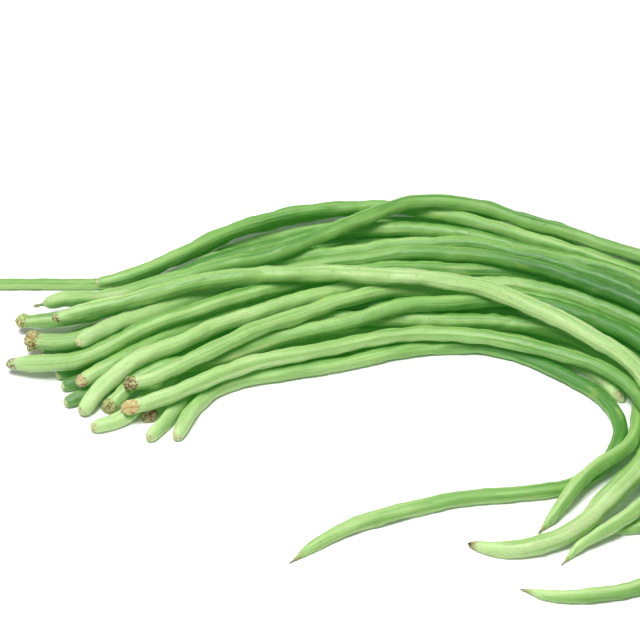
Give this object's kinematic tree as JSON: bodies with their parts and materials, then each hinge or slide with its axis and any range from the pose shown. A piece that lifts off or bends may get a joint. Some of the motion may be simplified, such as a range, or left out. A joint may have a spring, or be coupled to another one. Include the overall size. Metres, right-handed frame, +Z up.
{
  "type": "yardlong bean bunch",
  "caption": "Loose untied bunch of long thin green bean pods lying on their side, stalk ends together, bent back on itself with the tips fanned out.",
  "frame": {"origin": "centre of the bunch's bounding box in plan, on the surface that it lies on", "axes": "+X from the stalk ends towards the bend, +Y towards the outer side of the bend, +Z up"},
  "size_m": [0.4694, 0.2732, 0.0341],
  "materials": {
    "pod_pale": "waxy, pale yellow-green",
    "pod_fresh": "waxy, fresh green",
    "pod_deep": "waxy, deeper green"
  },
  "bodies": {
    "root": {"pod_01": "pod_fresh", "pod_02": "pod_fresh", "pod_03": "pod_pale", "pod_04": "pod_fresh", "pod_05": "pod_pale", "pod_06": "pod_pale", "pod_07": "pod_fresh", "pod_08": "pod_pale", "pod_09": "pod_deep", "pod_10": "pod_fresh", "pod_11": "pod_fresh", "pod_12": "pod_deep", "pod_13": "pod_fresh", "pod_14": "pod_fresh", "pod_15": "pod_fresh", "pod_16": "pod_pale", "pod_17": "pod_fresh", "pod_18": "pod_fresh", "pod_19": "pod_fresh", "pod_20": "pod_fresh", "pod_21": "pod_deep", "pod_22": "pod_deep", "pod_23": "pod_deep", "pod_24": "pod_deep", "pod_25": "pod_deep", "pod_26": "pod_deep", "pod_27": "pod_pale"}
  },
  "joints": []
}
